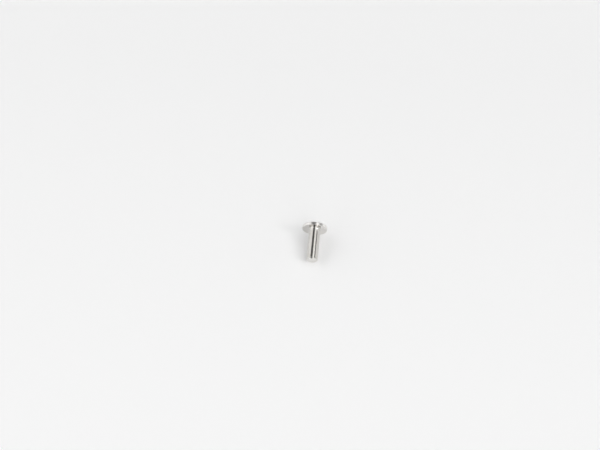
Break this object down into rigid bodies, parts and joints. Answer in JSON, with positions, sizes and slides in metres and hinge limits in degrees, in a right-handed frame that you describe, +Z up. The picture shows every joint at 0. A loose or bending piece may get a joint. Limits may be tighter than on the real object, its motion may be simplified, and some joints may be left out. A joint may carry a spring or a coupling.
{
  "type": "screw",
  "caption": "Bright plated machine screw with a thin, wide flat head, a cross recess and a full-length fine thread, lying on its side.",
  "frame": {"origin": "on the table, under the middle of the screw's box as it lies", "axes": "+Z up; the shank points to -Y and slopes down by 11.24 degrees, from the rim of the head to the end of the thread; X is level across the head"},
  "size_m": [0.0104, 0.0166, 0.0105],
  "materials": {
    "plated_steel": "bright nickel plate over turned and rolled steel"
  },
  "bodies": {
    "root": {"screw": "plated_steel"}
  },
  "joints": []
}
